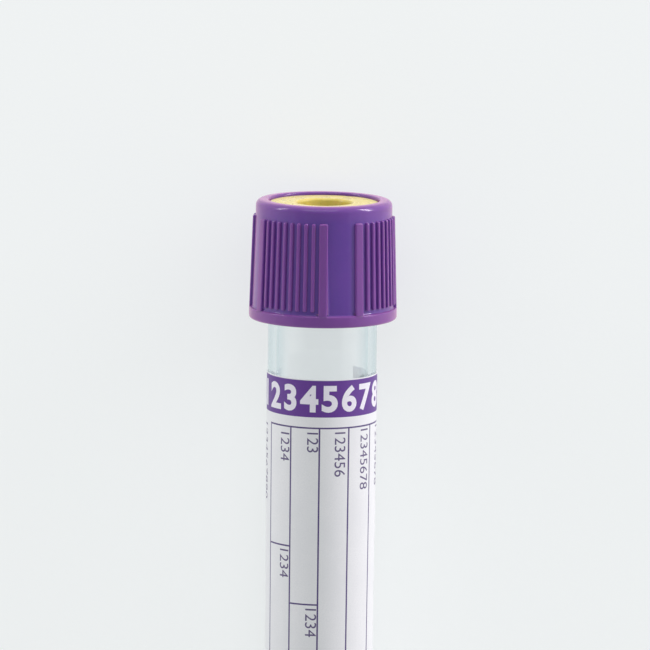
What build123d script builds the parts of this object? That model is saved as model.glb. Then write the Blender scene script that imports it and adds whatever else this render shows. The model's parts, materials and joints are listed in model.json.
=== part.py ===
from build123d import *
import math
import os

# Blood collection tube: a clear moulded tube with a paper label, closed by a ribbed cap that
# carries a coloured ring over a rubber stopper. Millimetres and degrees.
#
# The tube lies as it comes to rest, on its round bottom and on the rim of its cap, with the
# cap towards +X. Its own measures are heights along the tube from the tip of the bottom,
# radii out from its axis, and angles round it from the side that faces up, towards -Y.

# ---- Driving dimensions ----

# Tube
tube_length = 75.0
tube_radius = 6.535  # outside, at the mouth
tube_wall = 1.0
tube_draft = 0.2  # lets the tube leave its mould
mouth_round = 0.25

# Label, stuck round the tube with a window left open between its ends
label_below_cap = 6.45
label_above_bottom = 1.05  # over the start of the round bottom
label_thickness = 0.08
label_glue = 0.02
label_start = -115.0
label_end = 138.0

# Stopper
flange_thickness = 1.8
flange_round = 0.2
plug_depth = 7.2
plug_relief = 0.335  # between the plug's body and the bore
plug_nose_round = 0.7
bead_radius = 0.5
bead_fit = 0.04  # between a sealing bead and the bore, for a plug drawn as it is squeezed
bead_depths = (1.9, 4.9)  # under the mouth
top_well_depth = 1.4
under_well_radius = 2.9
under_well_depth = 4.0
well_round = 0.6

# Ring in the cap's mouth
ring_thickness = 1.85
ring_flange_thickness = 0.5  # the part held under the cap's lip
ring_recess = 0.35  # below the top of the cap
ring_fit = 0.08  # round the ring, and round the stopper's flange
ring_hole_radius = 3.3
ring_edge_round = 0.3
well_step = 0.4  # by which the stopper's well is narrower than the ring's hole

# Cap
cap_height = 14.2
cap_wall = 1.1  # at the crown
cap_clearance = 0.465  # between the tube and the cap's bore
lip_overhang = 0.45
crown_round = 0.75
mouth_edge_round = 0.25
bore_draft = 0.6
skirt_draft = 1.8
rim_height = 1.38
rim_step = 0.03  # by which the rim stands proud of the ribs
rim_round = 0.35
ledge_round = 0.15
ledge_fillet = 0.3

# Grip ribs: groups of fine ribs, each between two wide ones, with smooth panels between groups
rib_groups = 4
rib_group_span = 60.0  # between the centres of its two wide ribs
rib_group_middle = -30.0  # where the first group stands
wide_rib_width = 8.0
fine_rib_width = 3.0
fine_ribs = 8
rib_proud = 0.33
rib_round = 0.12
rib_root = 0.4  # how deep a rib starts inside the skirt
ribs_below_top = 1.93

# Guide ribs and snap beads inside the cap
guide_ribs = 12
guide_rib_width = 5.0
guide_clearance = 0.22  # between them and the tube
guide_below_mouth = 2.2
guide_above_bottom = 1.6
snap_beads = 6
snap_bead_width = 26.0
snap_bead_radius = 0.35
snap_clearance = 0.18  # between them and the tube
snap_below_flange = 0.1

# ---- Heights and radii that follow ----

flange_top = tube_length + flange_thickness
ring_top = flange_top + ring_thickness
lip_bottom = flange_top + ring_flange_thickness
cap_top = ring_top + ring_recess
cap_bottom = cap_top - cap_height
ledge_height = cap_bottom + rim_height
rib_top = cap_top - ribs_below_top
bore_radius = tube_radius + cap_clearance
mouth_radius = bore_radius - lip_overhang
crown_radius = bore_radius + cap_wall
label_top = cap_bottom - label_below_cap
plug_bottom = tube_length - plug_depth


def drafted(radius, height, draft, at):
    """Radius at a height of a wall that has this radius at its own height, and leans by its draft."""
    return radius + (at - height) * math.tan(math.radians(draft))


def tube_outside(at):
    return drafted(tube_radius, tube_length, tube_draft, at)


def tube_bore(at):
    return tube_outside(at) - tube_wall


def cap_bore(at):
    return drafted(bore_radius, lip_bottom, -bore_draft, at)


def skirt_radius(at):
    return drafted(crown_radius, rib_top, -skirt_draft, at)


# The round bottom meets the drafted wall on a tangent.
lean = math.radians(tube_draft)
bottom_radius = (tube_radius * math.cos(lean) - tube_length * math.sin(lean)) / (
    1 - math.sin(lean)
)
label_bottom = bottom_radius + label_above_bottom
rim_radius = skirt_radius(ledge_height) + rib_proud + rim_step

# ---- How the tube lies ----

# It touches the floor with the round bottom and with the rounded lower edge of the cap's rim.
rim_arc_radius = rim_radius - rim_round
reach = cap_bottom + rim_round - bottom_radius
rise = bottom_radius - rim_round
tilt = math.acos(rise / math.hypot(reach, rim_arc_radius)) - math.atan2(reach, rim_arc_radius)
along = Vector(math.cos(tilt), 0, math.sin(tilt))
upwards = Vector(-math.sin(tilt), 0, math.cos(tilt))

# Half way between the bottom and the cap's lowest front edge is the origin.
rear_end = bottom_radius * (math.cos(tilt) - 1)
front_end = (
    (cap_top - crown_round) * math.cos(tilt)
    + (crown_radius - crown_round) * math.sin(tilt)
    + crown_round
)
tip = Vector(-(rear_end + front_end) / 2, 0, bottom_radius * (1 - math.sin(tilt)))
tube_axis = Axis(tip, along)


def section_at(angle):
    """Plane through the tube's axis at an angle round it: x is the radius and y the height."""
    outwards = upwards.rotate(tube_axis, angle)
    return Plane(origin=tip, x_dir=outwards, z_dir=outwards.cross(along))


def outline(*corners):
    """Face inside a closed outline through corners given as (radius, height, rounding)."""
    with BuildLine() as edge:
        FilletPolyline(
            [(radius, height) for radius, height, _ in corners],
            radius=[rounding for _, _, rounding in corners],
            close=True,
        )
    make_face(edge.edges())


def bullet(radius, tip_height, open_radius, open_height):
    """Half of a round-bottomed form: an arc from its tip, then a drafted line to its open end."""
    centre = (0, tip_height + radius)
    with BuildLine() as edge:
        arc = CenterArc(centre, radius, -90, 90 - tube_draft)
        wall = Line(arc @ 1, (open_radius, open_height))
        Polyline(wall @ 1, (0, open_height), (0, tip_height))
    make_face(edge.edges())


# ---- Tube ----

with BuildPart() as tube:
    with BuildSketch(section_at(0)):
        bullet(bottom_radius, 0, tube_radius, tube_length)
    revolve(axis=tube_axis)
    with BuildSketch(section_at(0)):
        bullet(bottom_radius - tube_wall, tube_wall, tube_bore(tube_length), tube_length)
    revolve(axis=tube_axis, mode=Mode.SUBTRACT)
    mouth = tube.faces().filter_by(GeomType.PLANE).sort_by(tube_axis)[-1]
    fillet(mouth.edges(), mouth_round)
tube.part.label = "tube"

# ---- Label ----

with BuildPart() as label:
    with BuildSketch(section_at(label_start)):
        outline(
            (tube_outside(label_bottom) + label_glue, label_bottom, 0),
            (tube_outside(label_bottom) + label_glue + label_thickness, label_bottom, 0),
            (tube_outside(label_top) + label_glue + label_thickness, label_top, 0),
            (tube_outside(label_top) + label_glue, label_top, 0),
        )
    revolve(axis=tube_axis, revolution_arc=label_end - label_start)
label.part.label = "label"

# ---- Cap ----


def grip_rib(width):
    """One grip rib, centred on angle 0: a bar that follows the skirt from the ledge up."""
    with BuildPart() as rib:
        with BuildSketch(section_at(-width / 2)):
            outline(
                (skirt_radius(ledge_height) - rib_root, ledge_height - rib_root, 0),
                (skirt_radius(ledge_height) + rib_proud, ledge_height - rib_root, 0),
                (skirt_radius(rib_top) + rib_proud, rib_top, 0),
                (skirt_radius(rib_top) - rib_root, rib_top, 0),
            )
        revolve(axis=tube_axis, revolution_arc=width)
        front = rib.faces().filter_by(GeomType.CONE).sort_by(SortBy.AREA)[-1]
        lower_end = front.edges().sort_by(tube_axis)[0]
        fillet([edge for edge in front.edges() if edge != lower_end], rib_round)
    return rib.part


def guide_rib():
    """One rib inside the skirt, centred on angle 0, that keeps the cap square on the tube."""
    low = cap_bottom + guide_above_bottom
    high = tube_length - guide_below_mouth
    crest = tube_radius + guide_clearance
    with BuildPart() as rib:
        with BuildSketch(section_at(-guide_rib_width / 2)):
            outline(
                (cap_bore(low) + rib_root, low - (cap_bore(low) + rib_root - crest), 0),
                (crest, low, 0),
                (crest, high, 0),
                (cap_bore(high) + rib_root, high + (cap_bore(high) + rib_root - crest), 0),
            )
        revolve(axis=tube_axis, revolution_arc=guide_rib_width)
    return rib.part


def snap_bead():
    """One length of the bead, centred on angle 0, that holds the stopper's flange in the cap."""
    crest = tube_radius + snap_clearance
    with BuildPart() as bead:
        with BuildSketch(section_at(-snap_bead_width / 2)):
            with Locations((crest + snap_bead_radius, tube_length - snap_below_flange - snap_bead_radius)):
                Circle(snap_bead_radius)
        revolve(axis=tube_axis, revolution_arc=snap_bead_width)
    return bead.part


def turned(piece, angles):
    """Copies of a piece at angles round the tube's axis."""
    return [piece.rotate(tube_axis, angle) for angle in angles]


def all_round(count, start=0.0):
    """Evenly spaced angles."""
    return [start + 360 / count * i for i in range(count)]


fine_gap = (rib_group_span - wide_rib_width - fine_ribs * fine_rib_width) / (fine_ribs + 1)
fine_pitch = fine_rib_width + fine_gap
fine_offsets = [fine_pitch * (i - (fine_ribs - 1) / 2) for i in range(fine_ribs)]
wide_offsets = [-rib_group_span / 2, rib_group_span / 2]
group_angles = all_round(rib_groups, rib_group_middle)

with BuildPart() as cap:
    with BuildSketch(section_at(0)):
        outline(
            (mouth_radius, cap_top, mouth_edge_round),
            (crown_radius, cap_top, crown_round),
            (crown_radius, rib_top, 0),
            (skirt_radius(ledge_height), ledge_height, ledge_fillet),
            (rim_radius, ledge_height, ledge_round),
            (rim_radius, cap_bottom, rim_round),
            (cap_bore(cap_bottom), cap_bottom, rim_round),
            (bore_radius, lip_bottom, 0),
            (mouth_radius, lip_bottom, 0),
        )
    revolve(axis=tube_axis)
    add(turned(grip_rib(fine_rib_width), [a + b for a in group_angles for b in fine_offsets]))
    add(turned(grip_rib(wide_rib_width), [a + b for a in group_angles for b in wide_offsets]))
    add(turned(guide_rib(), all_round(guide_ribs)))
    add(turned(snap_bead(), all_round(snap_beads)))
cap.part.label = "cap"

# ---- Cap ring ----

with BuildPart() as cap_ring:
    with BuildSketch(section_at(0)):
        outline(
            (ring_hole_radius, ring_top, ring_edge_round),
            (mouth_radius - ring_fit, ring_top, ring_edge_round / 2),
            (mouth_radius - ring_fit, lip_bottom, 0),
            (bore_radius - ring_fit, lip_bottom, 0),
            (bore_radius - ring_fit, flange_top, 0),
            (ring_hole_radius, flange_top, 0),
        )
    revolve(axis=tube_axis)
cap_ring.part.label = "cap_ring"

# ---- Stopper ----

top_well_radius = ring_hole_radius - well_step
plug_radius = tube_bore(tube_length) - plug_relief

with BuildPart() as stopper:
    with BuildSketch(section_at(0)):
        outline(
            (0, flange_top - top_well_depth, 0),
            (top_well_radius, flange_top - top_well_depth, well_round),
            (top_well_radius, flange_top, flange_round),
            (bore_radius - ring_fit, flange_top, flange_round),
            (bore_radius - ring_fit, tube_length, flange_round),
            (plug_radius, tube_length, 0),
            (plug_radius, plug_bottom, plug_nose_round),
            (under_well_radius, plug_bottom, flange_round),
            (under_well_radius, plug_bottom + under_well_depth, well_round),
            (0, plug_bottom + under_well_depth, 0),
        )
        for depth in bead_depths:
            height = tube_length - depth
            with Locations((tube_bore(height) - bead_fit - bead_radius, height)):
                Circle(bead_radius)
    revolve(axis=tube_axis)
stopper.part.label = "stopper"

# ---- Files ----

os.makedirs("parts", exist_ok=True)
for piece in (tube, label, cap, cap_ring, stopper):
    export_step(piece.part, f"parts/{piece.part.label}.step")
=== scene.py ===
"""A lying blood collection tube: clear body, printed label, ribbed cap, ring and stopper."""

import json
import logging
import math
from dataclasses import dataclass, field, replace
from enum import Enum

import bmesh
import bpy
from bmesh.types import BMEdge, BMesh, BMFace, BMVert
from bpy.types import Material, Node, NodeSocket, Object
from mathutils import Matrix, Vector


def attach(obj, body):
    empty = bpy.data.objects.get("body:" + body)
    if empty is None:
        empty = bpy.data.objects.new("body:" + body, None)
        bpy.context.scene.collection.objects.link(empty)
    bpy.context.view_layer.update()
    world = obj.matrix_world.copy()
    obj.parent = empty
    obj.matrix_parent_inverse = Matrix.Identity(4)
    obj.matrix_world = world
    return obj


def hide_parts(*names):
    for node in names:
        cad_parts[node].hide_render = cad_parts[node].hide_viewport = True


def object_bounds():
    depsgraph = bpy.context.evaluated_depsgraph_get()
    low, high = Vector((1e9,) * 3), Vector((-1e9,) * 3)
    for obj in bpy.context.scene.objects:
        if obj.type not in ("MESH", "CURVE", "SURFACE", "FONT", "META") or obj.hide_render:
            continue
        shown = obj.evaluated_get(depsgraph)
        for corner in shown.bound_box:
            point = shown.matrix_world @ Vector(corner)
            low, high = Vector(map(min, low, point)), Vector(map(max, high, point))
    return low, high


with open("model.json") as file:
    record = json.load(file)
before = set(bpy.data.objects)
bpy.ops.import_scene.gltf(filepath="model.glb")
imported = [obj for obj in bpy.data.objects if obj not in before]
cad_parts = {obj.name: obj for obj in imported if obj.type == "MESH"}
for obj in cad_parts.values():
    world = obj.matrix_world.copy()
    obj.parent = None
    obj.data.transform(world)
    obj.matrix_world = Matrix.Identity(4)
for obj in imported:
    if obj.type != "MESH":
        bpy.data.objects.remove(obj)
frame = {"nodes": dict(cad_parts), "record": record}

LOG = logging.getLogger("tube")
MM = 0.001
WELD = 0.0002 * MM
HAIR = 0.0001 * MM
CAD_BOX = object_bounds()
Pair = tuple[float, float]
Triple = Colour = tuple[float, float, float]
Numbers = tuple[float, ...]


def srgb(red: int, green: int, blue: int) -> Colour:
    """Linear colour from display values.

    Args:
        red: Display value, 0 to 255.
        green: Display value, 0 to 255.
        blue: Display value, 0 to 255.

    Returns:
        The three linear channels.
    """
    return tuple(
        c / 12.92 if c <= 0.04045 else ((c + 0.055) / 1.055) ** 2.4
        for c in (red / 255, green / 255, blue / 255)
    )


# ---- Nodes ----


class NodeSheet:
    """The node tree of one material, with short ways to add and join its nodes."""

    def __init__(self, name: str) -> None:
        """Starts an empty material.

        Args:
            name: The material's name.
        """
        self.material = bpy.data.materials.new(name)
        self.material.use_nodes = True
        self.tree = self.material.node_tree
        self.tree.nodes.clear()

    def add(self, kind: str, values: dict | None = None, **settings: object) -> Node:
        """Adds one node.

        Args:
            kind: The node's type, without the words that all shader nodes share.
            values: Socket names or numbers, with a constant or a socket for each.
            settings: The node's own properties.

        Returns:
            The new node.
        """
        node = self.tree.nodes.new("ShaderNode" + kind)
        for key, value in settings.items():
            setattr(node, key, value)
        for key, value in (values or {}).items():
            if isinstance(value, NodeSocket):
                self.tree.links.new(value, node.inputs[key])
            else:
                node.inputs[key].default_value = value
        return node

    def math(self, operation: str, *values: object) -> NodeSocket:
        """Result of one Math node on constants or sockets."""
        return self.add("Math", dict(enumerate(values)), operation=operation).outputs[0]

    def noise(self, where: NodeSocket, scale: float, detail: float = 3.0,
              roughness: float = 0.5, distortion: float = 0.0) -> NodeSocket:
        """Noise between 0 and 1.

        Args:
            where: The coordinates.
            scale: Waves in one unit of the coordinates.
            detail: Octaves.
            roughness: Strength of the finer octaves.
            distortion: How far the pattern is warped.

        Returns:
            The noise's factor.
        """
        values = {"Vector": where, "Scale": scale, "Detail": detail,
                  "Roughness": roughness, "Distortion": distortion}
        return self.add("TexNoise", values).outputs[0]

    def stretch(self, value: NodeSocket, low: float, high: float,
                out_low: float = 0.0, out_high: float = 1.0) -> NodeSocket:
        """Carries one range of a value to another, with its ends held.

        Args:
            value: What is carried over.
            low: Value that becomes out_low.
            high: Value that becomes out_high.
            out_low: Result at the low end.
            out_high: Result at the high end.

        Returns:
            The carried value.
        """
        values = {0: value, 1: low, 2: high, 3: out_low, 4: out_high}
        return self.add("MapRange", values).outputs[0]

    def blend(self, share: object, first: object, second: object) -> NodeSocket:
        """Colour between two, by a share from 0 to 1.

        Args:
            share: Share of the second colour.
            first: Colour or socket at 0.
            second: Colour or socket at 1.

        Returns:
            The mixed colour.
        """
        node = self.add("Mix", data_type="RGBA")
        for socket, value in zip((node.inputs[0], node.inputs[6], node.inputs[7]),
                                 (share, first, second)):
            if isinstance(value, NodeSocket):
                self.tree.links.new(value, socket)
            else:
                socket.default_value = (*value, 1.0) if isinstance(value, tuple) else value
        return node.outputs[2]

    def place(self, size: float = MM, turn: Triple = (0, 0, 0),
              stretch: Triple = (1, 1, 1)) -> NodeSocket:
        """Object coordinates in millimetres, turned and stretched.

        Args:
            size: Length of one unit, in metres.
            turn: Angles of the turn, in radians.
            stretch: Factors along the three turned directions.

        Returns:
            The coordinates.
        """
        source = self.add("TexCoord").outputs["Object"]
        turned = self.add("Mapping", {"Vector": source, "Rotation": turn}).outputs[0]
        scale = tuple(s / size for s in stretch)
        return self.add("Mapping", {"Vector": turned, "Scale": scale}).outputs[0]

    def bump(self, height: NodeSocket, depth: float,
             under: NodeSocket | None = None) -> NodeSocket:
        """Bumped normal.

        Args:
            height: The relief, 0 to 1.
            depth: Depth of the relief in metres.
            under: A normal that is bumped already.

        Returns:
            The normal.
        """
        values = {"Height": height, "Distance": depth, "Strength": 1.0}
        if under is not None:
            values["Normal"] = under
        return self.add("Bump", values).outputs[0]

    def close(self, shader: Node, inside: Node | None = None) -> Material:
        """Joins a shader to the output.

        Args:
            shader: The node that shades the surface.
            inside: The node that colours light on its way through.

        Returns:
            The finished material.
        """
        values = {"Surface": shader.outputs[0]}
        if inside is not None:
            values["Volume"] = inside.outputs[0]
        self.add("OutputMaterial", values)
        return self.material


# ---- Finishes ----


@dataclass(frozen=True)
class ClearPlastic:
    """Clear injection-moulded polyester, with the faint haze of its dried lining, and painted
    shade at its sides.
    """

    name: str = "clear_polyester"
    tint: Colour = (1.0, 1.0, 1.0)
    # edge: painted shade, a teal-grey tint mixed in where the surface turns away from the view,
    # darkening the tube's sides
    edge: Colour = (0.67, 0.8, 0.83)
    painted_edge_shade_span: Pair = (0.28, 0.72)
    shade: Colour = (0.98, 0.99, 0.99)
    depths: Colour = (0.3, 0.58, 0.62)
    density: float = 60.0
    trapped_after: float = 1.5
    index: float = 1.57
    haze: Numbers = (1.4, 4.0, 0.6)
    haze_span: Pair = (0.35, 0.7)
    polish: Pair = (0.004, 0.03)
    waves: Numbers = (0.9, 1.0)
    wave_stretch: Triple = (0.12, 1, 1)
    ripple: float = 0.004 * MM

    def material(self) -> Material:
        """Builds the finish.

        Returns:
            The material.
        """
        sheet = NodeSheet(self.name)
        where = sheet.place()
        haze = sheet.noise(where, *self.haze)
        waves = sheet.noise(sheet.place(stretch=self.wave_stretch), *self.waves)
        normal = sheet.bump(waves, self.ripple)
        rough = sheet.stretch(haze, *self.haze_span, *self.polish)
        # Painted shade: the tint turns towards the edge colour as the surface turns away from the
        # view, darkening the tube's sides
        lean = sheet.add("LayerWeight", {"Blend": 0.5}).outputs["Facing"]
        tint = sheet.blend(sheet.stretch(lean, *self.painted_edge_shade_span), self.tint, self.edge)
        body = sheet.add("BsdfPrincipled", {
            "Base Color": tint, "Roughness": rough, "IOR": self.index,
            "Transmission Weight": 1.0, "Normal": normal})
        clear = sheet.add("BsdfTransparent", {"Color": (*self.shade, 1.0)})
        path = sheet.add("LightPath").outputs
        trapped = sheet.math("GREATER_THAN", path["Glossy Depth"], self.trapped_after)
        through = sheet.math("MAXIMUM", path["Is Shadow Ray"], trapped)
        both = sheet.add("MixShader", {0: through, 1: body.outputs[0], 2: clear.outputs[0]})
        inside = sheet.add("VolumeAbsorption", {
            "Color": (*self.depths, 1.0), "Density": self.density})
        return sheet.close(both, inside)


@dataclass(frozen=True)
class Finish:
    """Two tones in soft patches under a fine skin, with a painted glow on raised parts where
    given, for all but the glass and the form.

    A noise is given as its scale, its octaves, the strength of the finer ones and its warp.
    """

    name: str
    colour: Colour
    other: Colour
    patches: Numbers
    patch_span: Pair
    grains: Numbers
    grain: float
    gloss: Pair | None = None
    smears: Numbers | None = None
    smear_span: Pair = (0.3, 0.7)
    sinks: Numbers | None = None
    sink: float = 0.0
    # A paler colour painted on what stands proud: a painted glow for light passing through thin
    # plastic
    painted_glow: Colour | None = None
    unit: float = MM
    constants: dict[str, object] = field(default_factory=dict)

    def material(self) -> Material:
        """Builds the finish.

        Returns:
            The material.
        """
        sheet = NodeSheet(self.name)
        where = sheet.place(self.unit)
        patch = sheet.stretch(sheet.noise(where, *self.patches), *self.patch_span)
        tone = sheet.blend(patch, self.colour, self.other)
        # Painted glow: ribs and the crown's upper part are painted paler and pinker by how far
        # they stand proud
        if self.painted_glow:
            relief = sheet.add("Attribute", attribute_name="relief").outputs["Fac"]
            tone = sheet.blend(relief, tone, self.painted_glow)
        skin = sheet.bump(sheet.noise(where, *self.grains), self.grain)
        if self.sinks:
            skin = sheet.bump(sheet.noise(where, *self.sinks), self.sink, skin)
        values = {"Base Color": tone, "Normal": skin, **self.constants}
        if self.smears:
            smear = sheet.noise(where, *self.smears)
            values["Roughness"] = sheet.stretch(smear, *self.smear_span, *self.gloss)
        elif self.gloss:
            values["Roughness"] = sheet.stretch(patch, 0, 1, *self.gloss)
        return sheet.close(sheet.add("BsdfPrincipled", values))


# The cap's ribs and crown carry a painted glow, a paler pink for light through the thin plastic
CAP_FINISH = Finish(
    "cap_polyethylene", srgb(86, 56, 150), srgb(91, 58, 152), painted_glow=srgb(114, 64, 148),
    patches=(0.28, 3.0, 0.55), patch_span=(0.35, 0.65), smears=(0.6, 4.0, 0.6, 0.4),
    gloss=(0.1, 0.19), grains=(22.0, 2.0, 0.5), grain=0.0012 * MM,
    sinks=(0.45, 1.0), sink=0.012 * MM, constants={
        "IOR": 1.51, "Subsurface Weight": 0.45, "Subsurface Radius": (1.0, 0.3, 0.7),
        "Subsurface Scale": 0.7 * MM, "Sheen Weight": 0.4, "Sheen Roughness": 0.6,
        "Sheen Tint": (1.0, 0.35, 0.6, 1.0)})
RING_FINISH = replace(
    CAP_FINISH, name="ring_polyethylene", colour=srgb(218, 200, 96), other=srgb(221, 204, 108),
    painted_glow=None, gloss=(0.22, 0.36), constants={
        "IOR": 1.51, "Subsurface Weight": 0.4, "Subsurface Radius": (1.0, 0.8, 0.2),
        "Subsurface Scale": 0.8 * MM, "Sheen Weight": 0.15, "Sheen Roughness": 0.6,
        "Sheen Tint": (1.0, 0.95, 0.8, 1.0)})
STOPPER_FINISH = Finish(
    "butyl_rubber", srgb(104, 104, 110), srgb(138, 138, 142), patches=(1.1, 5.0, 0.7),
    patch_span=(0.4, 0.75), smears=(2.0, 2.0), gloss=(0.5, 0.72), grains=(11.0, 4.0, 0.65),
    grain=0.006 * MM, constants={"IOR": 1.52})
PAPER_BACK = Finish(
    "paper_back", srgb(240, 242, 243), srgb(228, 231, 236), patches=(1.3, 4.0, 0.65),
    patch_span=(0.4, 0.7), gloss=(0.55, 0.4), grains=(6.0, 4.0, 0.7), grain=0.004 * MM,
    constants={"IOR": 1.47, "Subsurface Weight": 0.9, "Subsurface Radius": (1.0, 1.0, 1.0),
               "Subsurface Scale": 0.3 * MM})
WHITE_INK = Finish(
    "white_ink", srgb(234, 232, 240), srgb(222, 218, 230), patches=(12.0, 3.0, 0.7),
    patch_span=(0.45, 0.75), gloss=(0.4, 0.55), grains=(20.0, 2.0), grain=0.001 * MM,
    constants={"IOR": 1.48})
VIOLET_INK = replace(
    WHITE_INK, name="violet_ink", colour=srgb(92, 80, 120), other=srgb(120, 110, 146))
STUDIO_PAPER = Finish(
    "studio_paper", srgb(150, 151, 151), srgb(146, 148, 148), unit=1.0, patches=(14.0, 2.0),
    patch_span=(0.3, 0.7), grains=(2500.0, 2.0), grain=0.01 * MM, constants={
        "Roughness": 0.85, "Emission Color": (0.97, 1.0, 1.0, 1.0), "Emission Strength": 0.65})


@dataclass(frozen=True)
class PrintedForm:
    """Coated label paper with a purple band and a ruled form; its map runs from 0 to 1."""

    name: str
    width: float
    height: float
    first_angle: float
    last_angle: float
    paper: Colour = srgb(236, 237, 238)
    fibre: Colour = srgb(226, 228, 230)
    ink: Colour = srgb(96, 52, 142)
    line_ink: Colour = srgb(86, 70, 122)
    band: float = 4.51
    paper_edge: float = 0.12
    gap: float = 1.3
    form_height: float = 42.9
    rule: float = 0.19
    column: float = 31.55
    first_rule: float = -65.0
    columns: int = 6
    cross_rules: tuple[tuple[int, float], ...] = ((0, 14.4), (1, 21.3))
    index: float = 1.48
    fibres: Numbers = (7.0, 5.0, 0.7)
    fibre_span: Pair = (0.35, 0.7)
    fibre_depth: float = 0.003 * MM
    clouds: Numbers = (0.25, 2.0)
    cloud_range: Numbers = (0.4, 0.7, 0.0, 0.5)
    wear: Numbers = (14.0, 2.0)
    wear_range: Numbers = (0.28, 0.34, 0.88, 1.0)
    gloss_range: Numbers = (0.3, 0.7, 0.36, 0.5)
    cockles: Numbers = (0.5, 2.0)
    cockle_depth: float = 0.02 * MM

    def material(self) -> Material:
        """Builds the finish.

        Returns:
            The material.
        """
        sheet = NodeSheet(self.name)
        source = sheet.add("UVMap", uv_map="form").outputs[0]
        scale = (self.last_angle - self.first_angle, self.height, 1.0)
        flat = sheet.add("Mapping", {"Vector": source, "Scale": scale,
                                     "Location": (self.first_angle, 0, 0)}).outputs[0]
        parts = sheet.add("SeparateXYZ", {0: flat}).outputs
        angle, up = parts[0], parts[1]
        down = sheet.math("SUBTRACT", self.height, up)
        degree = self.width / (self.last_angle - self.first_angle)

        def between(value: object, low: float, high: float) -> NodeSocket:
            """1 where a value lies between two others."""
            return sheet.math("COMPARE", value, (low + high) / 2, (high - low) / 2)

        top = self.band + self.gap
        inside = between(down, top - self.rule / 2, top + self.form_height + self.rule / 2)
        last_rule = self.first_rule + self.column * self.columns
        half_rule = self.rule / 2 / degree
        across = between(angle, self.first_rule - half_rule, last_rule + half_rule)
        offset = sheet.math("SUBTRACT", angle, self.first_rule - self.column / 2)
        beside = sheet.math("SUBTRACT", sheet.math("FLOORED_MODULO", offset, self.column),
                            self.column / 2)
        rules = sheet.math("COMPARE", beside, 0.0, half_rule)
        for height in (top, top + self.form_height):
            rules = sheet.math("MAXIMUM", rules,
                               between(down, height - self.rule / 2, height + self.rule / 2))
        for column, height in self.cross_rules:
            low = self.first_rule + self.column * column
            here = between(down, top + height - self.rule / 2, top + height + self.rule / 2)
            rules = sheet.math("MAXIMUM", rules, sheet.math(
                "MULTIPLY", here, between(angle, low, low + self.column)))
        rules = sheet.math("MULTIPLY", sheet.math("MULTIPLY", rules, inside), across)
        band = between(down, self.paper_edge, self.band)

        where = sheet.place()
        grain = sheet.noise(where, *self.fibres)
        cloud = sheet.noise(where, *self.clouds)
        wear = sheet.noise(where, *self.wear)
        white = sheet.blend(sheet.stretch(grain, *self.fibre_span), self.paper, self.fibre)
        white = sheet.blend(sheet.stretch(cloud, *self.cloud_range), white, self.fibre)
        cover = sheet.stretch(wear, *self.wear_range)
        tone = sheet.blend(sheet.math("MULTIPLY", rules, cover), white, self.line_ink)
        tone = sheet.blend(sheet.math("MULTIPLY", band, cover), tone, self.ink)
        rough = sheet.stretch(grain, *self.gloss_range)
        skin = sheet.bump(grain, self.fibre_depth)
        skin = sheet.bump(sheet.noise(where, *self.cockles), self.cockle_depth, skin)
        body = sheet.add("BsdfPrincipled", {
            "Base Color": tone, "Roughness": rough, "IOR": self.index, "Normal": skin})
        return sheet.close(body)


# ---- Where the tube lies ----


@dataclass(frozen=True)
class Lie:
    """The tube's own frame: z along it from the tip of its bottom, x out of its upper side."""

    tip: Vector
    along: Vector
    up: Vector

    @classmethod
    def read(cls) -> "Lie":
        """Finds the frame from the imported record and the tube's own mesh.

        Returns:
            The frame.
        """
        record = frame["record"]
        along = Vector(record["behaviour"]["joints"][0]["axis"]).normalized()
        port = next(m for m in record["mounts"] if m["name"] == "needle_port")
        point = Vector(port["pos_m"])
        low = min((v.co - point).dot(along) for v in frame["nodes"]["tube"].data.vertices)
        up = (Vector((0, 0, 1)) - along * along.z).normalized()
        return cls(point + along * low, along, up)

    @property
    def matrix(self) -> Matrix:
        """From the tube's frame to the row frame."""
        side = self.along.cross(self.up)
        turn = Matrix((self.up, side, self.along)).transposed()
        return Matrix.Translation(self.tip) @ turn.to_4x4()

    def point(self, height: float, radius: float = 0.0, angle: float = 0.0) -> Vector:
        """A place on or round the tube.

        Args:
            height: Metres from the tip of the bottom.
            radius: Metres out from the axis.
            angle: Degrees round the axis from the upper side.

        Returns:
            The place in the row frame.
        """
        turn = math.radians(angle)
        return self.matrix @ Vector((radius * math.cos(turn), radius * math.sin(turn), height))


# ---- Shapes ----


def new_piece(name: str, shape: BMesh, lie: Lie, body: str,
              material: Material) -> Object:
    """Makes an object of a shape drawn in the tube's frame.

    Args:
        name: The piece's name.
        shape: The shape, which is used up.
        lie: The tube's frame.
        body: CAD body that it moves with.
        material: Its finish.

    Returns:
        The object, in place.
    """
    shape.transform(lie.matrix)
    mesh = bpy.data.meshes.new(name)
    shape.to_mesh(mesh)
    shape.free()
    piece = bpy.data.objects.new(name, mesh)
    bpy.context.scene.collection.objects.link(piece)
    mesh.materials.append(material)
    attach(piece, body)
    return piece


def corner(shape: BMesh, radius: float, height: float) -> BMVert:
    """Adds one point of a section to a shape."""
    return shape.verts.new((radius, 0.0, height))


def run(shape: BMesh, start: BMVert, *stops: Pair) -> BMVert:
    """Extrudes a section's line through further points.

    Args:
        shape: The shape that holds the section.
        start: Where the line starts.
        stops: Radius and height of each further point.

    Returns:
        The line's last point.
    """
    for radius, height in stops:
        new = bmesh.ops.extrude_vert_indiv(shape, verts=[start])["verts"][0]
        new.co = (radius, 0.0, height)
        start = new
    return start


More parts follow.
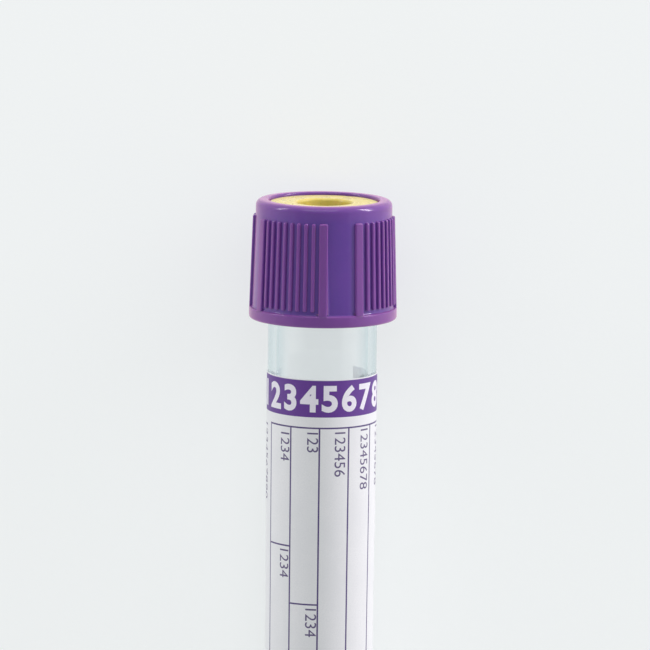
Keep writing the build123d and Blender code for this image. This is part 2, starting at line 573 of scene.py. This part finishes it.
def arc(shape: BMesh, start: BMVert, centre: Pair, degrees: float, steps: int) -> BMVert:
    """Spins a section's point round a centre into an arc.

    Args:
        shape: The shape that holds the section.
        start: Where the arc starts.
        centre: Radius and height of its centre.
        degrees: How far it turns, positive from the axis outwards and up.
        steps: How many edges it has.

    Returns:
        The arc's last point.
    """
    made = bmesh.ops.spin(
        shape, geom=[start], cent=(centre[0], 0.0, centre[1]), axis=(0, -1, 0),
        angle=math.radians(degrees), steps=steps, use_merge=False, use_duplicate=False)
    return next(g for g in made["geom_last"] if isinstance(g, BMVert))


def swivel(shape: BMesh, points: list[BMVert], degrees: float) -> None:
    """Turns some of a shape's points round the tube's axis."""
    bmesh.ops.rotate(shape, verts=points, cent=(0, 0, 0),
                     matrix=Matrix.Rotation(math.radians(degrees), 3, "Z"))


def sweep(shape: BMesh, section: list, degrees: float, steps: int,
          full: bool = False) -> list:
    """Spins a section round the tube's axis.

    Args:
        shape: The shape that holds the section.
        section: Its points, edges and faces.
        degrees: How far it turns.
        steps: How many steps it takes.
        full: Whether the last step joins the first.

    Returns:
        The section at its far end.
    """
    made = bmesh.ops.spin(shape, geom=section, cent=(0, 0, 0), axis=(0, 0, 1),
                          angle=math.radians(degrees), steps=steps, use_merge=full,
                          use_duplicate=False)
    return made["geom_last"]


def weld(shape: BMesh) -> None:
    """Joins the points that coincide, and turns the skin's faces outwards."""
    bmesh.ops.remove_doubles(shape, verts=shape.verts[:], dist=WELD)
    bmesh.ops.recalc_face_normals(shape, faces=shape.faces[:])


def outwards(face: BMFace) -> Vector:
    """From the tube's axis straight out to a face's middle."""
    return face.calc_center_median() * Vector((1, 1, 0))


def smooth(piece: Object, angle: float = 35.0) -> None:
    """Shades a piece smooth, but for edges sharper than an angle in degrees."""
    for face in piece.data.polygons:
        face.use_smooth = True
    piece.data.set_sharp_from_angle(angle=math.radians(angle))


# ---- The tube ----


@dataclass
class ClearTube:
    """The clear round-bottomed tube."""

    lie: Lie
    length: float = 75.0 * MM
    radius: float = 6.535 * MM
    wall: float = 1.0 * MM
    draft: float = 0.2
    lip: float = 0.25 * MM
    hold: float = 0.15 * MM
    gate: float = 0.9 * MM
    gate_floor: float = 0.8
    gate_depth: float = 0.1 * MM
    steps: int = 360
    bottom_steps: int = 40
    lip_steps: int = 6
    finish: ClearPlastic = field(default_factory=ClearPlastic)

    @property
    def bottom(self) -> float:
        """Radius of the round bottom, which meets the drafted wall smoothly."""
        lean = math.radians(self.draft)
        return (self.radius * math.cos(lean) - self.length * math.sin(lean)) / (
            1 - math.sin(lean))

    def outside(self, height: float) -> float:
        """Outer radius at a height."""
        return self.radius + (height - self.length) * math.tan(math.radians(self.draft))

    def build(self) -> Object:
        """Spins the tube's wall.

        Returns:
            The piece.
        """
        shape = bmesh.new()
        outer = self.bottom
        centre = (0.0, outer)
        foot = corner(shape, 0.0, self.gate_depth)
        foot = run(shape, foot, (self.gate * self.gate_floor, self.gate_depth))
        dip = math.asin(self.gate / outer)
        foot = run(shape, foot, (self.gate, outer - outer * math.cos(dip)))
        arc(shape, foot, centre, 90 - self.draft - math.degrees(dip), self.bottom_steps)
        inside = corner(shape, 0.0, self.wall)
        arc(shape, inside, centre, 90 - self.draft, self.bottom_steps)
        ends = sorted((v for v in shape.verts if len(v.link_edges) == 1 and v.co.x > self.gate),
                      key=lambda v: v.co.x)
        bore = self.outside(self.length) - self.wall
        low, high = self.bottom + self.hold, self.length - self.lip - self.hold
        run(shape, ends[0], (self.outside(low) - self.wall, low),
            (self.outside(high) - self.wall, high), (bore, self.length - self.lip))
        last_in = max(shape.verts, key=lambda v: v.co.z)
        tip_in = arc(shape, last_in, (bore + self.lip, self.length - self.lip), -90,
                     self.lip_steps)
        rim = run(shape, ends[1], (self.outside(low), low), (self.outside(high), high),
                  (self.outside(self.length), self.length - self.lip))
        tip_out = arc(shape, rim, (self.outside(self.length) - self.lip, self.length - self.lip),
                      90, self.lip_steps)
        shape.edges.new((tip_in, tip_out))
        sweep(shape, shape.verts[:] + shape.edges[:], 360, self.steps, full=True)
        weld(shape)
        piece = new_piece("clear_tube", shape, self.lie, "tube", self.finish.material())
        smooth(piece)
        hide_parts("tube")
        return piece


@dataclass(frozen=True)
class Mark:
    """A plain numeral or run of numerals, printed upright or running down the tube."""

    text: str
    height: float
    angle: float
    size: float
    runs_down: bool = False
    fineness: int = 5

    def outline(self, weight: float) -> BMesh:
        """Draws the mark flat.

        Args:
            weight: By how much the strokes are widened, as a share of the type's height.

        Returns:
            The flat mark. An upright one is centred, and one that runs down starts at 0.
        """
        curve = bpy.data.curves.new("mark", "FONT")
        curve.body, curve.offset, curve.resolution_u = self.text, weight, self.fineness
        typed = bpy.data.objects.new("mark", curve)
        mesh = bpy.data.meshes.new_from_object(typed)
        flat = bmesh.new()
        flat.from_mesh(mesh)
        bpy.data.objects.remove(typed)
        bpy.data.meshes.remove(mesh)
        bpy.data.curves.remove(curve)
        low = Vector(map(min, zip(*(v.co for v in flat.verts))))
        high = Vector(map(max, zip(*(v.co for v in flat.verts))))
        start = low.x if self.runs_down else (low.x + high.x) / 2
        bmesh.ops.translate(flat, verts=flat.verts[:],
                            vec=(-start, -(low.y + high.y) / 2, 0))
        scale = self.size / (high.y - low.y)
        bmesh.ops.scale(flat, verts=flat.verts[:], vec=(scale, scale, scale))
        if self.runs_down:
            swivel(flat, flat.verts[:], -90)
        return flat


@dataclass
class Label:
    """The paper label with its printed form and plain numerals."""

    lie: Lie
    tube: ClearTube
    top: float = 58.35 * MM
    bottom: float = 7.35 * MM
    start: float = -115.0
    end: float = 138.0
    thickness: float = 0.08 * MM
    glue: float = 0.02 * MM
    ink_lift: float = 0.006 * MM
    rows: int = 24
    strip: float = 0.25 * MM
    seam_slack: float = 5.0
    facing_out: float = 0.5
    band_type: float = 3.2 * MM
    form_type: float = 1.35 * MM
    band_start: float = -78.0
    band_pitch: float = 21.6
    band_count: int = 10
    band_weight: float = 0.035
    form_rows: tuple[tuple[int, float, float], ...] = (
        (10, 0.3, -82.0), (4, 0.8, -41.0), (3, 0.55, -9.0), (6, 0.5, 20.0), (8, 0.4, 51.0),
        (8, 0.4, 82.0), (6, 0.4, 114.0), (4, 14.9, -41.0), (4, 21.8, -9.0))

    def build(self) -> list[Object]:
        """Bends the paper round the tube and prints it.

        Returns:
            The paper and its numerals.
        """
        shape = bmesh.new()
        low = corner(shape, self.tube.outside(self.bottom) + self.glue, self.bottom)
        run(shape, low, (self.tube.outside(self.top) + self.glue, self.top))
        bmesh.ops.subdivide_edges(shape, edges=shape.edges[:], cuts=self.rows)
        swivel(shape, shape.verts[:], self.start)
        span = self.end - self.start
        sweep(shape, shape.verts[:] + shape.edges[:], span, round(span))
        bmesh.ops.recalc_face_normals(shape, faces=shape.faces[:])
        if sum(f.normal.dot(outwards(f)) for f in shape.faces) < 0:
            bmesh.ops.reverse_faces(shape, faces=shape.faces[:])
        bmesh.ops.solidify(shape, geom=shape.faces[:], thickness=-self.thickness)
        bmesh.ops.recalc_face_normals(shape, faces=shape.faces[:])
        self.lay_map(shape)
        for face in shape.faces:
            facing = face.normal.dot(outwards(face).normalized())
            face.material_index = int(facing < self.facing_out)
        radius = (self.tube.outside(self.bottom) + self.tube.outside(self.top)) / 2
        width = math.radians(span) * radius / MM
        form = PrintedForm("printed_form", width, (self.top - self.bottom) / MM,
                           self.start, self.end)
        paper = new_piece("paper_label", shape, self.lie, "tube", form.material())
        paper.data.materials.append(PAPER_BACK.material())
        smooth(paper, 50)
        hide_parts("label")
        return [paper, *self.numerals(form)]

    def lay_map(self, shape: BMesh) -> None:
        """Gives the paper its map: across it from edge to edge, and up it.

        Args:
            shape: The bent paper, in the tube's frame.
        """
        layer = shape.loops.layers.uv.new("form")
        for face in shape.faces:
            for loop in face.loops:
                co = loop.vert.co
                angle = math.degrees(math.atan2(co.y, co.x))
                if angle < self.start - self.seam_slack:
                    angle += 360
                loop[layer].uv = ((angle - self.start) / (self.end - self.start),
                                  (co.z - self.bottom) / (self.top - self.bottom))

    def numerals(self, form: PrintedForm) -> list[Object]:
        """Prints plain numerals: large ones in the band, small ones along the form's columns.

        Args:
            form: The printed form that they stand in.

        Returns:
            The two prints.
        """
        middle = self.top - (form.band + form.paper_edge) / 2 * MM
        band = [Mark(str((i + 1) % 10), middle, self.band_start + i * self.band_pitch,
                     self.band_type) for i in range(self.band_count)]
        head = self.top - (form.band + form.gap) * MM
        rows = [Mark("1234567890"[:count], head - drop * MM, angle, self.form_type, True)
                for count, drop, angle in self.form_rows]
        return [self.print_row("band_numerals", band, WHITE_INK, self.band_weight),
                self.print_row("form_numerals", rows, VIOLET_INK, 0.0)]

    def print_row(self, name: str, marks: list[Mark], ink: Finish, weight: float) -> Object:
        """Prints some numerals round the label.

        Args:
            name: The piece's name.
            marks: What is printed, and where.
            ink: Its finish.
            weight: By how much the strokes are widened, as a share of the type's height.

        Returns:
            The piece.
        """
        whole = bmesh.new()
        for mark in marks:
            flat = mark.outline(weight)
            self.wrap(flat, mark.height, mark.angle)
            made = bpy.data.meshes.new("mark")
            flat.to_mesh(made)
            flat.free()
            whole.from_mesh(made)
            bpy.data.meshes.remove(made)
        piece = new_piece(name, whole, self.lie, "tube", ink.material())
        smooth(piece, 40)
        return piece

    def wrap(self, flat: BMesh, height: float, angle: float) -> None:
        """Cuts a flat mark into strips and lays it round the label as a thin coat of ink.

        Args:
            flat: The mark, x across and y up, centred.
            height: Where its middle stands.
            angle: Where its middle stands round the tube.
        """
        edge = max(abs(v.co.x) for v in flat.verts)
        cuts = max(2, math.ceil(2 * edge / self.strip))
        for cut in range(1, cuts):
            bmesh.ops.bisect_plane(
                flat, geom=flat.verts[:] + flat.edges[:] + flat.faces[:],
                plane_co=(-edge + 2 * edge * cut / cuts, 0, 0), plane_no=(1, 0, 0),
                dist=HAIR)
        skin = self.glue + self.thickness + self.ink_lift
        for vert in flat.verts:
            z = height + vert.co.y
            radius = self.tube.outside(z) + skin
            turn = math.radians(angle) + vert.co.x / radius
            vert.co = (radius * math.cos(turn), radius * math.sin(turn), z)
        flat.normal_update()
        for face in flat.faces:
            if face.normal.dot(outwards(face)) < 0:
                face.normal_flip()


class RibKind(Enum):
    """The two kinds of grip rib: wide ones sink into the ledge, fine ones stop above it."""

    WIDE = "wide"
    FINE = "fine"


@dataclass(frozen=True)
class Rib:
    """One grip rib: its middle and width round the cap, how low it starts, and its kind."""

    angle: float
    width: float
    foot: float
    kind: RibKind


@dataclass
class RibbedCap:
    """The push-on cap: a drafted shell with grip ribs outside, and guides and beads inside."""

    lie: Lie
    finish: Finish
    top: float = 79.0 * MM
    bottom: float = 64.8 * MM
    ledge: float = 66.18 * MM
    rib_top: float = 77.07 * MM
    lip: float = 77.3 * MM
    crown: float = 8.1 * MM
    bore: float = 7.0 * MM
    mouth: float = 6.55 * MM
    skirt_draft: float = 1.8
    bore_draft: float = 0.6
    proud: float = 0.33 * MM
    rim_step: float = 0.027 * MM
    groups: int = 4
    group_middle: float = -30.0
    group_span: float = 60.0
    wide_rib: float = 7.0
    fine_rib: float = 3.0
    fine_ribs: int = 8
    fine_foot: float = 0.5 * MM
    wide_foot: float = 0.1 * MM
    wide_sink: float = 0.5 * MM
    rib_round: float = 0.17 * MM
    rib_break: float = 0.06 * MM
    round_steps: int = 7
    rib_round_steps: int = 5
    mouth_round: float = 0.25 * MM
    crown_round: float = 0.75 * MM
    ledge_fillet: float = 0.2 * MM
    ledge_round: float = 0.15 * MM
    rim_round: float = 0.35 * MM
    wide_steps: int = 3
    panel_steps: int = 10
    angle_slack: float = 0.01
    skin_slack: float = 0.05 * MM
    height_slack: float = 0.01 * MM
    upright: float = 0.3
    # Share of the painted glow reached at the top of the crown
    crown_glow_share: float = 0.6
    guides: int = 12
    guide_width: float = 5.0
    guide_crest: float = 6.755 * MM
    guide_root: float = 0.4 * MM
    guide_low: float = 66.4 * MM
    guide_high: float = 72.8 * MM
    guide_steps: int = 3
    beads: int = 6
    bead_width: float = 26.0
    bead_radius: float = 0.35 * MM
    bead_ring: float = 7.065 * MM
    bead_height: float = 74.55 * MM
    bead_sides: int = 14
    bead_steps: int = 10

    def skirt(self, height: float) -> float:
        """Outer radius of the skirt between the ribs at a height."""
        return self.crown + (self.rib_top - height) * math.tan(math.radians(self.skirt_draft))

    def inside(self, height: float) -> float:
        """Radius of the bore at a height."""
        return self.bore + (self.lip - height) * math.tan(math.radians(self.bore_draft))

    @property
    def fine_gap(self) -> float:
        """Degrees between two fine ribs."""
        room = self.group_span - self.wide_rib - self.fine_ribs * self.fine_rib
        return room / (self.fine_ribs + 1)

    def build(self) -> Object:
        """Spins the shell, raises its ribs, and adds the guides and beads.

        Returns:
            The piece.
        """
        shape = bmesh.new()
        self.draw_section(shape)
        self.spin_sectors(shape)
        for group in range(self.groups):
            middle = self.group_middle + 360 / self.groups * group
            for rib in self.group_ribs(middle):
                self.raise_rib(shape, rib)
        self.add_guides(shape)
        self.add_beads(shape)
        bmesh.ops.recalc_face_normals(shape, faces=shape.faces[:])
        self.mark_relief(shape)
        piece = new_piece("ribbed_cap", shape, self.lie, "closure", self.finish.material())
        smooth(piece, 40)
        weighted = piece.modifiers.new("even_shading", "WEIGHTED_NORMAL")
        weighted.keep_sharp = True
        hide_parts("cap")
        return piece

    def mark_relief(self, shape: BMesh) -> None:
        """Notes how far each point stands proud of the skirt or up the crown, from 0 to 1; the
        finish paints its glow by it.

        Args:
            shape: The cap's shape, in the tube's frame.
        """
        layer = shape.verts.layers.float.new("relief")
        for vert in shape.verts:
            height = min(max(vert.co.z, self.ledge), self.rib_top)
            proud = math.hypot(vert.co.x, vert.co.y) - self.skirt(height)
            rise = (vert.co.z - self.rib_top) / (self.top - self.rib_top)
            vert[layer] = min(max(proud / self.proud, rise * self.crown_glow_share, 0.0), 1.0)

    def draw_section(self, shape: BMesh) -> None:
        """Draws half of the shell's section at the first wide rib's edge.

        Args:
            shape: Receives the section.
        """
        fine_foot = self.ledge + self.fine_foot
        corners = (
            (self.mouth, self.top, self.mouth_round), (self.crown, self.top, self.crown_round),
            (self.crown, self.rib_top + self.rib_break, 0), (self.crown, self.rib_top, 0),
            (self.skirt(fine_foot), fine_foot, 0),
            (self.skirt(fine_foot - self.rib_break), fine_foot - self.rib_break, 0),
            (self.skirt(self.ledge), self.ledge, self.ledge_fillet),
            (self.rim, self.ledge, self.ledge_round), (self.rim, self.bottom, self.rim_round),
            (self.inside(self.bottom), self.bottom, self.rim_round),
            (self.bore, self.lip, 0), (self.mouth, self.lip, 0))
        points = [corner(shape, radius, height) for radius, height, _ in corners]
        shape.faces.new(points)
        for point, (_, _, rounding) in zip(points, corners):
            if rounding:
                bmesh.ops.bevel(shape, geom=[point], offset=rounding,
                                segments=self.round_steps, profile=0.5, affect="VERTICES",
                                material=-1)
        bmesh.ops.delete(shape, geom=shape.faces[:], context="FACES_ONLY")
        first = self.group_middle - (self.group_span + self.wide_rib) / 2
        swivel(shape, shape.verts[:], first)

    @property
    def rim(self) -> float:
        """Radius of the rim under the ledge."""
        return self.skirt(self.ledge) + self.proud + self.rim_step

    def sectors(self) -> list[tuple[float, int]]:
        """Angle and number of steps of each sector of one group, from its first wide rib."""
        panel = 360 / self.groups - self.group_span - self.wide_rib
        wide, gap, fine = (self.wide_rib, self.wide_steps), (self.fine_gap, 1), (self.fine_rib, 1)
        return [wide, gap, *[fine, gap] * self.fine_ribs, wide, (panel, self.panel_steps)]

    def spin_sectors(self, shape: BMesh) -> None:
        """Spins the section all round, so that an edge stands at each side of each rib.

        Args:
            shape: The shape that holds the section.
        """
        section = shape.verts[:] + shape.edges[:]
        for angle, steps in self.sectors() * self.groups:
            section = sweep(shape, section, angle, steps)
        weld(shape)

    def group_ribs(self, middle: float) -> list[Rib]:
        """The ribs of one group.

        Args:
            middle: Where the group's middle stands.

        Returns:
            Its two wide ribs and its fine ribs.
        """
        pitch = self.fine_rib + self.fine_gap
        low, high = self.ledge + self.wide_foot, self.ledge + self.fine_foot
        wide = [Rib(middle + side * self.group_span / 2, self.wide_rib, low, RibKind.WIDE)
                for side in (-1, 1)]
        fine = [Rib(middle + pitch * (i - (self.fine_ribs - 1) / 2), self.fine_rib, high,
                    RibKind.FINE) for i in range(self.fine_ribs)]
        return wide + fine

    def raise_rib(self, shape: BMesh, rib: Rib) -> None:
        """Extrudes one rib out of the skirt and rounds its edges.

        Args:
            shape: The cap's shape.
            rib: The rib.
        """
        facing = Vector((math.cos(math.radians(rib.angle)), math.sin(math.radians(rib.angle)), 0))
        spread = math.cos(math.radians(rib.width / 2 + self.angle_slack))
        patch = []
        for face in shape.faces:
            height = face.calc_center_median().z
            out = outwards(face)
            if (rib.foot < height < self.rib_top and out.normalized().dot(facing) > spread
                    and out.length > self.skirt(height) - self.skin_slack
                    and abs(face.normal.z) < self.upright):
                patch.append(face)
        made = bmesh.ops.extrude_face_region(shape, geom=patch)["geom"]
        crest = [g for g in made if isinstance(g, BMFace)]
        points = {v for f in crest for v in f.verts}
        low = min(v.co.z for v in points)
        for point in points:
            radius = math.hypot(point.co.x, point.co.y)
            share = (self.skirt(point.co.z) + self.proud) / radius
            point.co.x, point.co.y = point.co.x * share, point.co.y * share
        feet = [v for v in points if v.co.z < low + self.height_slack]
        if rib.kind is RibKind.WIDE:
            bmesh.ops.translate(shape, verts=feet, vec=(0, 0, -self.wide_sink))
        inside = set(crest)
        outline = [e for f in crest for e in f.edges
                   if sum(g in inside for g in e.link_faces) == 1]
        ends = [v for v in points if sum(e in outline for e in v.link_edges) == 2]
        if rib.kind is RibKind.WIDE:
            outline = [e for e in outline if not all(v in feet for v in e.verts)]
        corners = [e for v in ends for e in v.link_edges
                   if e.other_vert(v) not in points and self.turns(v, outline)]
        bmesh.ops.bevel(shape, geom=list(set(outline + corners)), offset=self.rib_round,
                        segments=self.rib_round_steps, profile=0.5, affect="EDGES",
                        clamp_overlap=True, material=-1)

    @staticmethod
    def turns(point: BMVert, outline: list[BMEdge]) -> bool:
        """Whether an outline turns a corner at a point."""
        sides = [(e.other_vert(point).co - point.co).normalized()
                 for e in point.link_edges if e in outline]
        return len(sides) == 2 and abs(sides[0].dot(sides[1])) < 0.5

    def add_guides(self, shape: BMesh) -> None:
        """Adds the guide ribs that keep the cap square on the tube.

        Args:
            shape: The cap's shape.
        """
        outline = []
        for height, side in ((self.guide_low, -1), (self.guide_high, 1)):
            root = self.inside(height) + self.guide_root
            pair = [(root, height + side * (root - self.guide_crest)), (self.guide_crest, height)]
            outline += pair[::-side]
        for i in range(self.guides):
            start = 360 / self.guides * i - self.guide_width / 2
            face = shape.faces.new([corner(shape, *point) for point in outline])
            self.swing(shape, face, start, self.guide_width, self.guide_steps)

    def add_beads(self, shape: BMesh) -> None:
        """Adds the lengths of bead that hold the stopper's flange.

        Args:
            shape: The cap's shape.
        """
        for i in range(self.beads):
            start = 360 / self.beads * i - self.bead_width / 2
            place = Matrix.Translation((self.bead_ring, 0, self.bead_height))
            turned = place @ Matrix.Rotation(math.pi / 2, 4, "X")
            made = bmesh.ops.create_circle(shape, cap_ends=True, segments=self.bead_sides,
                                           radius=self.bead_radius, matrix=turned)
            self.swing(shape, made["verts"][0].link_faces[0], start, self.bead_width,
                       self.bead_steps)

    @staticmethod
    def swing(shape: BMesh, face: BMFace, start: float, width: float, steps: int) -> None:
        """Turns a section to its start and spins it into a closed bar.

        Args:
            shape: The shape that holds the section.
            face: The section, drawn at angle 0.
            start: Degrees at which the bar starts.
            width: Degrees that it covers.
            steps: How many steps it has.
        """
        swivel(shape, face.verts[:], start)
        sweep(shape, [face, *face.edges, *face.verts], width, steps)


@dataclass
class Closure:
    """The cap, its ring and the rubber stopper, which leave the tube together."""

    lie: Lie
    cap_finish: Finish = CAP_FINISH
    ring_finish: Finish = RING_FINISH
    stopper_finish: Finish = STOPPER_FINISH

    def build(self) -> list[Object]:
        """Builds the cap, and dresses the ring and the stopper.

        Returns:
            The pieces.
        """
        dressed = [RibbedCap(self.lie, self.cap_finish).build()]
        for node, finish in (("cap_ring", self.ring_finish), ("stopper", self.stopper_finish)):
            piece = frame["nodes"][node]
            piece.data.materials.clear()
            piece.data.materials.append(finish.material())
            dressed.append(piece)
        return dressed


# ---- The studio ----


@dataclass(frozen=True)
class SoftBox:
    """A large even light, aimed at a point."""

    name: str
    place: Triple
    size: Pair
    power: float
    colour: Colour = (1.0, 1.0, 1.0)
    aim: Triple = (0.025, 0.0, 0.008)

    def build(self) -> None:
        """Hangs the light."""
        data = bpy.data.lights.new(self.name, "AREA")
        data.shape, data.energy, data.color = "RECTANGLE", self.power, self.colour
        data.size, data.size_y = self.size
        lamp = bpy.data.objects.new(self.name, data)
        lamp.location = self.place
        lamp.rotation_mode = "QUATERNION"
        lamp.rotation_quaternion = (Vector(self.aim) - lamp.location).to_track_quat("-Z", "Y")
        bpy.context.scene.collection.objects.link(lamp)


@dataclass
class Studio:
    """Floor, lights, surroundings and camera."""

    lie: Lie
    floor_size: float = 3.0
    floor_cells: int = 12
    floor_gap: float = 0.02 * MM
    horizon: Colour = (0.82, 0.83, 0.83)
    horizon_height: float = 0.1
    zenith: Colour = (0.44, 0.45, 0.46)
    zenith_height: float = 0.75
    distance: float = 0.6
    target_height: float = 62.2 * MM
    elevation: float = 9.0
    roll: float = 0.7
    lens: float = 279.2
    sensor: float = 36.0
    clip: Pair = (0.05, 20.0)
    shift: Pair = (0.00385, 0.02154)

    def build(self) -> None:
        """Sets the stage."""
        self.build_floor()
        for light in (
            SoftBox("left_box", (0.0, 0.5, 0.22), (0.9, 0.4), 0.1),
            SoftBox("right_box", (0.12, -0.46, 0.24), (0.9, 0.45), 0.28),
            SoftBox("left_strip", (0.26, 0.36, 0.05), (0.24, 0.08), 0.35, (1.0, 0.9, 0.97)),
            SoftBox("right_strip", (0.28, -0.4, 0.055), (0.3, 0.1), 1.3, (1.0, 0.9, 0.97)),
            SoftBox("far_box", (0.5, 0.05, 0.34), (0.5, 0.3), 0.65),
        ):
            light.build()
        self.build_sky()
        bpy.context.scene.view_settings.view_transform = "Standard"
        self.build_camera()

    def build_sky(self) -> None:
        """Surrounds the stage with an even glow that is pale low down and dim overhead."""
        world = bpy.data.worlds.new("studio")
        world.use_nodes = True
        nodes, links = world.node_tree.nodes, world.node_tree.links
        where = nodes.new("ShaderNodeTexCoord").outputs["Generated"]
        split = nodes.new("ShaderNodeSeparateXYZ")
        links.new(where, split.inputs[0])
        ramp = nodes.new("ShaderNodeValToRGB")
        links.new(split.outputs["Z"], ramp.inputs[0])
        low, high = ramp.color_ramp.elements
        low.position, low.color = self.horizon_height, (*self.horizon, 1.0)
        high.position, high.color = self.zenith_height, (*self.zenith, 1.0)
        links.new(ramp.outputs[0], nodes["Background"].inputs["Color"])
        bpy.context.scene.world = world

    def build_floor(self) -> None:
        """Lays the floor at the lowest point of the tube."""
        shape = bmesh.new()
        bmesh.ops.create_grid(shape, x_segments=self.floor_cells, y_segments=self.floor_cells,
                              size=self.floor_size / 2)
        mesh = bpy.data.meshes.new("floor")
        bmesh.ops.translate(shape, verts=shape.verts[:],
                            vec=(0, 0, CAD_BOX[0].z - self.floor_gap))
        shape.to_mesh(mesh)
        shape.free()
        floor = bpy.data.objects.new("floor", mesh)
        mesh.materials.append(STUDIO_PAPER.material())
        bpy.context.scene.collection.objects.link(floor)

    def build_camera(self) -> None:
        """Sets the camera over the upper side of the tube, a little towards the cap."""
        data = bpy.data.cameras.new("camera")
        data.sensor_fit, data.sensor_width, data.lens = "HORIZONTAL", self.sensor, self.lens
        data.shift_x, data.shift_y = self.shift
        data.clip_start, data.clip_end = self.clip
        lift = math.radians(self.elevation)
        back = self.lie.up * math.cos(lift) + self.lie.along * math.sin(lift)
        top = (self.lie.along - back * self.lie.along.dot(back)).normalized()
        right = top.cross(back)
        turn = Matrix((right, top, back)).transposed() @ Matrix.Rotation(
            math.radians(self.roll), 3, "Z")
        camera = bpy.data.objects.new("camera", data)
        place = self.lie.point(self.target_height) + back * self.distance
        camera.matrix_world = Matrix.Translation(place) @ turn.to_4x4()
        bpy.context.scene.collection.objects.link(camera)
        bpy.context.scene.camera = camera


def report(pieces: list[Object]) -> None:
    """Logs each piece's name and size of mesh.

    Args:
        pieces: The finished pieces.
    """
    for piece in pieces:
        LOG.info("%s: %d faces", piece.name, len(piece.data.polygons))


def main() -> None:
    """Builds the tube and its studio."""
    logging.basicConfig(level=logging.INFO, format="%(message)s")
    lie = Lie.read()
    tube = ClearTube(lie)
    report([tube.build()])
    report(Label(lie, tube).build())
    report(Closure(lie).build())
    Studio(lie).build()


if __name__ == "__main__":
    main()
